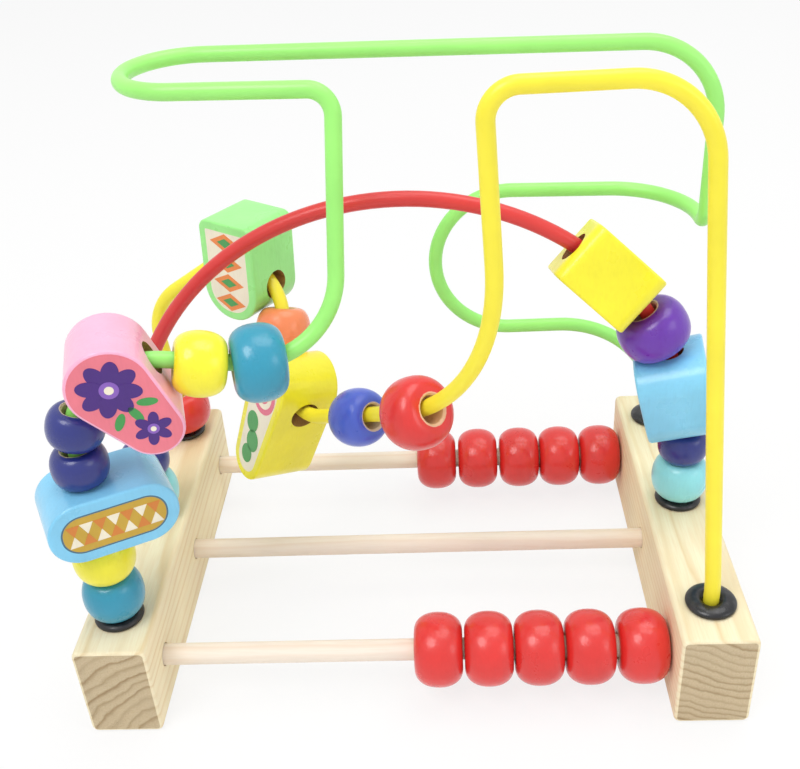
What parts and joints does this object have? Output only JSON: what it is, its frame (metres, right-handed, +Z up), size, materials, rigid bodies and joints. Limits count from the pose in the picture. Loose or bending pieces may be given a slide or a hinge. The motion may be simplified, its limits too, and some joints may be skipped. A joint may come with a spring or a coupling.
{
  "type": "bead maze toy",
  "caption": "Wooden bead maze: pine rails joined by dowels with rows of abacus beads, and bent coated wires that carry sliding beads and shaped blocks.",
  "frame": {"origin": "middle of the bounding box's footprint, on the floor", "axes": "+X towards the right rail, +Y towards the back, +Z up; the front abacus row faces -Y"},
  "size_m": [0.1852, 0.1182, 0.1719],
  "materials": {
    "pine": "sanded, clear",
    "beech": "sanded, clear",
    "rubber": "satin",
    "red_coat": "gloss coat",
    "green_coat": "gloss coat",
    "yellow_coat": "gloss coat",
    "paint_red": "gloss paint",
    "paint_blue": "gloss paint",
    "paint_yellow": "gloss paint",
    "paint_sky_blue": "gloss paint",
    "paint_navy": "gloss paint",
    "paint_indigo": "gloss paint",
    "paint_pink": "gloss paint",
    "paint_orange": "gloss paint",
    "paint_violet": "gloss paint",
    "paint_pale_cyan": "gloss paint",
    "paint_leaf_green": "gloss paint"
  },
  "bodies": {
    "base": {"left_rail": "pine", "right_rail": "pine", "front_dowel": "beech", "middle_dowel": "beech", "back_dowel": "beech", "left_front_grommet": "rubber", "left_middle_grommet": "rubber", "left_back_grommet": "rubber", "right_front_grommet": "rubber", "right_middle_grommet": "rubber", "right_back_grommet": "rubber", "red_wire": "red_coat", "green_wire": "green_coat", "yellow_wire": "yellow_coat"},
    "front_abacus_1": {"front_abacus_bead_1": "paint_red"},
    "front_abacus_2": {"front_abacus_bead_2": "paint_red"},
    "front_abacus_3": {"front_abacus_bead_3": "paint_red"},
    "front_abacus_4": {"front_abacus_bead_4": "paint_red"},
    "front_abacus_5": {"front_abacus_bead_5": "paint_red"},
    "back_abacus_1": {"back_abacus_bead_1": "paint_red"},
    "back_abacus_2": {"back_abacus_bead_2": "paint_red"},
    "back_abacus_3": {"back_abacus_bead_3": "paint_red"},
    "back_abacus_4": {"back_abacus_bead_4": "paint_red"},
    "back_abacus_5": {"back_abacus_bead_5": "paint_red"},
    "right_cyan": {"right_cyan_ball": "paint_pale_cyan"},
    "right_navy": {"right_navy_ball": "paint_navy"},
    "pillow": {"sky_blue_pillow_block": "paint_sky_blue"},
    "violet": {"violet_bead": "paint_violet"},
    "brick": {"yellow_brick_block": "paint_yellow"},
    "left_cyan": {"left_cyan_ball": "paint_pale_cyan"},
    "left_navy": {"left_navy_ball": "paint_navy"},
    "front_blue": {"front_blue_ball": "paint_blue"},
    "front_yellow": {"front_yellow_ball": "paint_yellow"},
    "oblong": {"sky_blue_oblong_block": "paint_sky_blue"},
    "lower_navy": {"front_lower_navy_ball": "paint_navy"},
    "upper_navy": {"front_upper_navy_ball": "paint_navy"},
    "pear": {"pink_pear_block": "paint_pink"},
    "valley_yellow": {"valley_yellow_ball": "paint_yellow"},
    "valley_blue": {"valley_blue_bead": "paint_blue"},
    "sweep_red": {"sweep_red_bead": "paint_red"},
    "sweep_indigo": {"sweep_indigo_ball": "paint_indigo"},
    "drop": {"yellow_drop_block": "paint_yellow"},
    "orange": {"hump_orange_ball": "paint_orange"},
    "shield": {"green_shield_block": "paint_leaf_green"},
    "back_red": {"back_red_bead": "paint_red"}
  },
  "joints": [
    {"name": "front_abacus_1_slide", "type": "slide", "parent": "base", "child": "front_abacus_1", "axis": [-1, 0, 0], "range_m": [0, 0.0139]},
    {"name": "front_abacus_2_slide", "type": "slide", "parent": "front_abacus_1", "child": "front_abacus_2", "axis": [-1, 0, 0], "range_m": [0, 0.0139]},
    {"name": "front_abacus_3_slide", "type": "slide", "parent": "front_abacus_2", "child": "front_abacus_3", "axis": [-1, 0, 0], "range_m": [0, 0.0139]},
    {"name": "front_abacus_4_slide", "type": "slide", "parent": "front_abacus_3", "child": "front_abacus_4", "axis": [-1, 0, 0], "range_m": [0, 0.0139]},
    {"name": "front_abacus_5_slide", "type": "slide", "parent": "front_abacus_4", "child": "front_abacus_5", "axis": [-1, 0, 0], "range_m": [0, 0.0139]},
    {"name": "back_abacus_1_slide", "type": "slide", "parent": "base", "child": "back_abacus_1", "axis": [-1, 0, 0], "range_m": [0, 0.0139]},
    {"name": "back_abacus_2_slide", "type": "slide", "parent": "back_abacus_1", "child": "back_abacus_2", "axis": [-1, 0, 0], "range_m": [0, 0.0139]},
    {"name": "back_abacus_3_slide", "type": "slide", "parent": "back_abacus_2", "child": "back_abacus_3", "axis": [-1, 0, 0], "range_m": [0, 0.0139]},
    {"name": "back_abacus_4_slide", "type": "slide", "parent": "back_abacus_3", "child": "back_abacus_4", "axis": [-1, 0, 0], "range_m": [0, 0.0139]},
    {"name": "back_abacus_5_slide", "type": "slide", "parent": "back_abacus_4", "child": "back_abacus_5", "axis": [-1, 0, 0], "range_m": [0, 0.0139]},
    {"name": "right_cyan_spin", "type": "hinge", "parent": "base", "child": "right_cyan", "pos_m": [0.08264, 0.00005, 0.039], "axis": [0, 0, 1], "continuous": true},
    {"name": "right_navy_spin", "type": "hinge", "parent": "base", "child": "right_navy", "pos_m": [0.08256, 0.00005, 0.05065], "axis": [-0.0196, 0, 0.9998], "continuous": true},
    {"name": "pillow_climb", "type": "hinge", "parent": "base", "child": "pillow", "pos_m": [0.00264, 0.00005, 0.05], "axis": [0, -1, 0], "range_deg": [0, 30]},
    {"name": "violet_climb", "type": "hinge", "parent": "pillow", "child": "violet", "pos_m": [0.00264, 0.00005, 0.05], "axis": [0, -1, 0], "range_deg": [0, 30]},
    {"name": "brick_climb", "type": "hinge", "parent": "violet", "child": "brick", "pos_m": [0.00264, 0.00005, 0.05], "axis": [0, -1, 0], "range_deg": [0, 40]},
    {"name": "left_cyan_spin", "type": "hinge", "parent": "base", "child": "left_cyan", "pos_m": [-0.07737, 0.00005, 0.039], "axis": [0, 0, 1], "continuous": true},
    {"name": "left_navy_climb", "type": "hinge", "parent": "base", "child": "left_navy", "pos_m": [0.00264, 0.00005, 0.05], "axis": [0, -1, 0], "range_deg": [-18, 0]},
    {"name": "front_blue_spin", "type": "hinge", "parent": "base", "child": "front_blue", "pos_m": [-0.07737, -0.04495, 0.039], "axis": [0, 0, 1], "continuous": true},
    {"name": "front_yellow_spin", "type": "hinge", "parent": "base", "child": "front_yellow", "pos_m": [-0.07737, -0.04495, 0.0521], "axis": [0, 0, 1], "continuous": true},
    {"name": "oblong_spin", "type": "hinge", "parent": "base", "child": "oblong", "pos_m": [-0.07737, -0.04495, 0.06755], "axis": [0, 0, 1], "continuous": true},
    {"name": "lower_navy_spin", "type": "hinge", "parent": "base", "child": "lower_navy", "pos_m": [-0.07737, -0.04495, 0.0815], "axis": [0, 0, 1], "continuous": true},
    {"name": "upper_navy_spin", "type": "hinge", "parent": "base", "child": "upper_navy", "pos_m": [-0.07605, -0.0446, 0.09266], "axis": [0.2519, 0.0664, 0.9655], "continuous": true},
    {"name": "pear_swing", "type": "hinge", "parent": "base", "child": "pear", "pos_m": [-0.06433, -0.04151, 0.10456], "axis": [0.9023, 0.2378, 0.3595], "range_deg": [-12, 12]},
    {"name": "valley_yellow_spin", "type": "hinge", "parent": "base", "child": "valley_yellow", "pos_m": [-0.04523, -0.03648, 0.10426], "axis": [0.9403, 0.2478, -0.2333], "continuous": true},
    {"name": "valley_blue_climb", "type": "hinge", "parent": "base", "child": "valley_blue", "pos_m": [-0.03168, -0.02881, 0.12262], "axis": [0.2928, -0.9384, 0.1835], "range_deg": [0, 70]},
    {"name": "sweep_red_climb", "type": "hinge", "parent": "base", "child": "sweep_red", "pos_m": [-0.01687, -0.00747, 0.12779], "axis": [-0.6262, -0.7792, -0.0281], "range_deg": [0, 45]},
    {"name": "sweep_indigo_slide", "type": "slide", "parent": "base", "child": "sweep_indigo", "axis": [-0.7103, 0.5849, -0.3917], "range_m": [-0.01, 0.009]},
    {"name": "drop_swing", "type": "hinge", "parent": "base", "child": "drop", "pos_m": [-0.03247, 0.01196, 0.06577], "axis": [-0.4347, 0.7805, 0.4493], "range_deg": [-8, 20]},
    {"name": "orange_spin", "type": "hinge", "parent": "base", "child": "orange", "pos_m": [-0.03497, 0.02416, 0.08021], "axis": [0.0787, 0.3974, 0.9143], "continuous": true},
    {"name": "shield_swing", "type": "hinge", "parent": "base", "child": "shield", "pos_m": [-0.04489, 0.03519, 0.09484], "axis": [-0.8254, 0.5108, 0.2404], "range_deg": [-5, 12]},
    {"name": "back_red_slide", "type": "slide", "parent": "base", "child": "back_red", "axis": [-0.075, 0, 0.9972], "range_m": [0, 0.018]}
  ]
}
